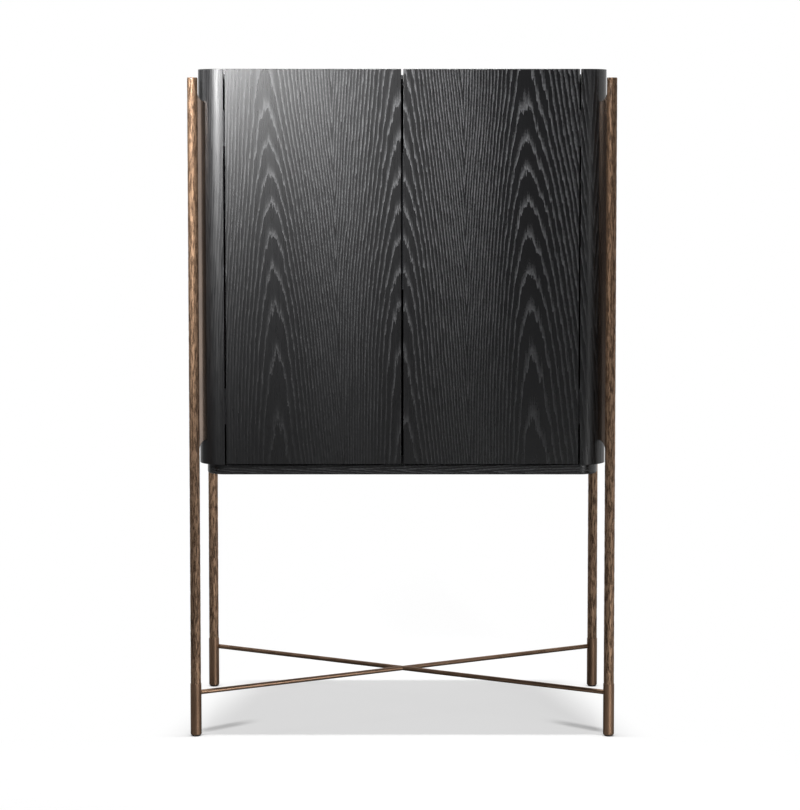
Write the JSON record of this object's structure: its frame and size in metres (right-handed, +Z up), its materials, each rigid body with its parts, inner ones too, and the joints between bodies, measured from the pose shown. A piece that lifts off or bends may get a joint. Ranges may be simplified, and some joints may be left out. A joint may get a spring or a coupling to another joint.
{
  "type": "bar cabinet",
  "caption": "Tall two-door bar cabinet in black stained ash on slim textured bronze legs, with a drop-down serving shelf and swinging support bracket inside the right door.",
  "frame": {"origin": "on the floor below the middle of the cabinet", "axes": "+Z up, front and doors face -Y, +X to the right of someone who stands in front of it"},
  "size_m": [1.001, 0.492, 1.5705],
  "materials": {
    "stained_ash": "black stained ash, open grain, satin",
    "inner_ash": "black stained ash, plain satin lacquer",
    "rough_bronze": "aged bronze with a rough bark-like texture",
    "smooth_bronze": "aged bronze, smooth satin",
    "dark_steel": "black painted steel, satin",
    "mirror_glass": "smoked mirror",
    "nylon": "black nylon"
  },
  "bodies": {
    "root": {"leg_front_left": "rough_bronze", "leg_front_right": "rough_bronze", "leg_rear_left": "rough_bronze", "leg_rear_right": "rough_bronze", "foot_front_left": "smooth_bronze", "foot_front_right": "smooth_bronze", "foot_rear_left": "smooth_bronze", "foot_rear_right": "smooth_bronze", "glide_front_left": "nylon", "glide_front_right": "nylon", "glide_rear_left": "nylon", "glide_rear_right": "nylon", "leg_bracket_front_left": "smooth_bronze", "leg_bracket_front_right": "smooth_bronze", "leg_bracket_rear_left": "smooth_bronze", "leg_bracket_rear_right": "smooth_bronze", "stretcher_long": "smooth_bronze", "stretcher_half_front": "smooth_bronze", "stretcher_half_rear": "smooth_bronze", "corner_post_front_left": "stained_ash", "corner_post_front_right": "stained_ash", "corner_post_rear_left": "stained_ash", "corner_post_rear_right": "stained_ash", "side_panel_left": "stained_ash", "side_panel_right": "stained_ash", "back_panel": "stained_ash", "base_slab": "stained_ash", "top_panel": "stained_ash", "floor_panel": "inner_ash", "inner_side_left": "inner_ash", "inner_side_right": "inner_ash", "middle_shelf": "inner_ash", "upper_shelf": "inner_ash", "mirror_panel": "mirror_glass", "stemware_rack": "smooth_bronze", "bottle_cradle": "inner_ash", "hinge_post_leaf_lower_left": "dark_steel", "hinge_post_leaf_upper_left": "dark_steel", "hinge_post_leaf_lower_right": "dark_steel", "hinge_post_leaf_upper_right": "dark_steel", "catch_magnet_left": "dark_steel", "catch_magnet_right": "dark_steel"},
    "door_left": {"door_left": "stained_ash", "hinge_door_leaf_lower_left": "dark_steel", "hinge_door_leaf_upper_left": "dark_steel", "catch_strike_left": "dark_steel"},
    "door_right": {"door_right": "stained_ash", "hinge_door_leaf_lower_right": "dark_steel", "hinge_door_leaf_upper_right": "dark_steel", "catch_strike_right": "dark_steel", "shelf_ledge": "stained_ash", "shelf_hinge_fixed_leaf": "smooth_bronze", "shelf_hinge_pin": "smooth_bronze", "shelf_keeper": "dark_steel", "gate_plate": "smooth_bronze", "gate_pin": "dark_steel"},
    "fold_shelf": {"fold_shelf": "stained_ash", "shelf_hinge_moving_leaf": "smooth_bronze"},
    "gate_bracket": {"gate_bracket": "smooth_bronze"}
  },
  "joints": [
    {"name": "door_left_swing", "type": "hinge", "parent": "root", "child": "door_left", "pos_m": [-0.4153, -0.2232, 1.1], "axis": [0, 0, -1], "range_deg": [0, 110]},
    {"name": "door_right_swing", "type": "hinge", "parent": "root", "child": "door_right", "pos_m": [0.4153, -0.2232, 1.1], "axis": [0, 0, 1], "range_deg": [0, 110]},
    {"name": "shelf_fold", "type": "hinge", "parent": "door_right", "child": "fold_shelf", "pos_m": [0.215, -0.178, 1.118], "axis": [-1, 0, 0], "range_deg": [0, 90]},
    {"name": "gate_swing", "type": "hinge", "parent": "door_right", "child": "gate_bracket", "pos_m": [0.2898, -0.194, 1.0565], "axis": [0, 0, -1], "range_deg": [0, 90]}
  ]
}
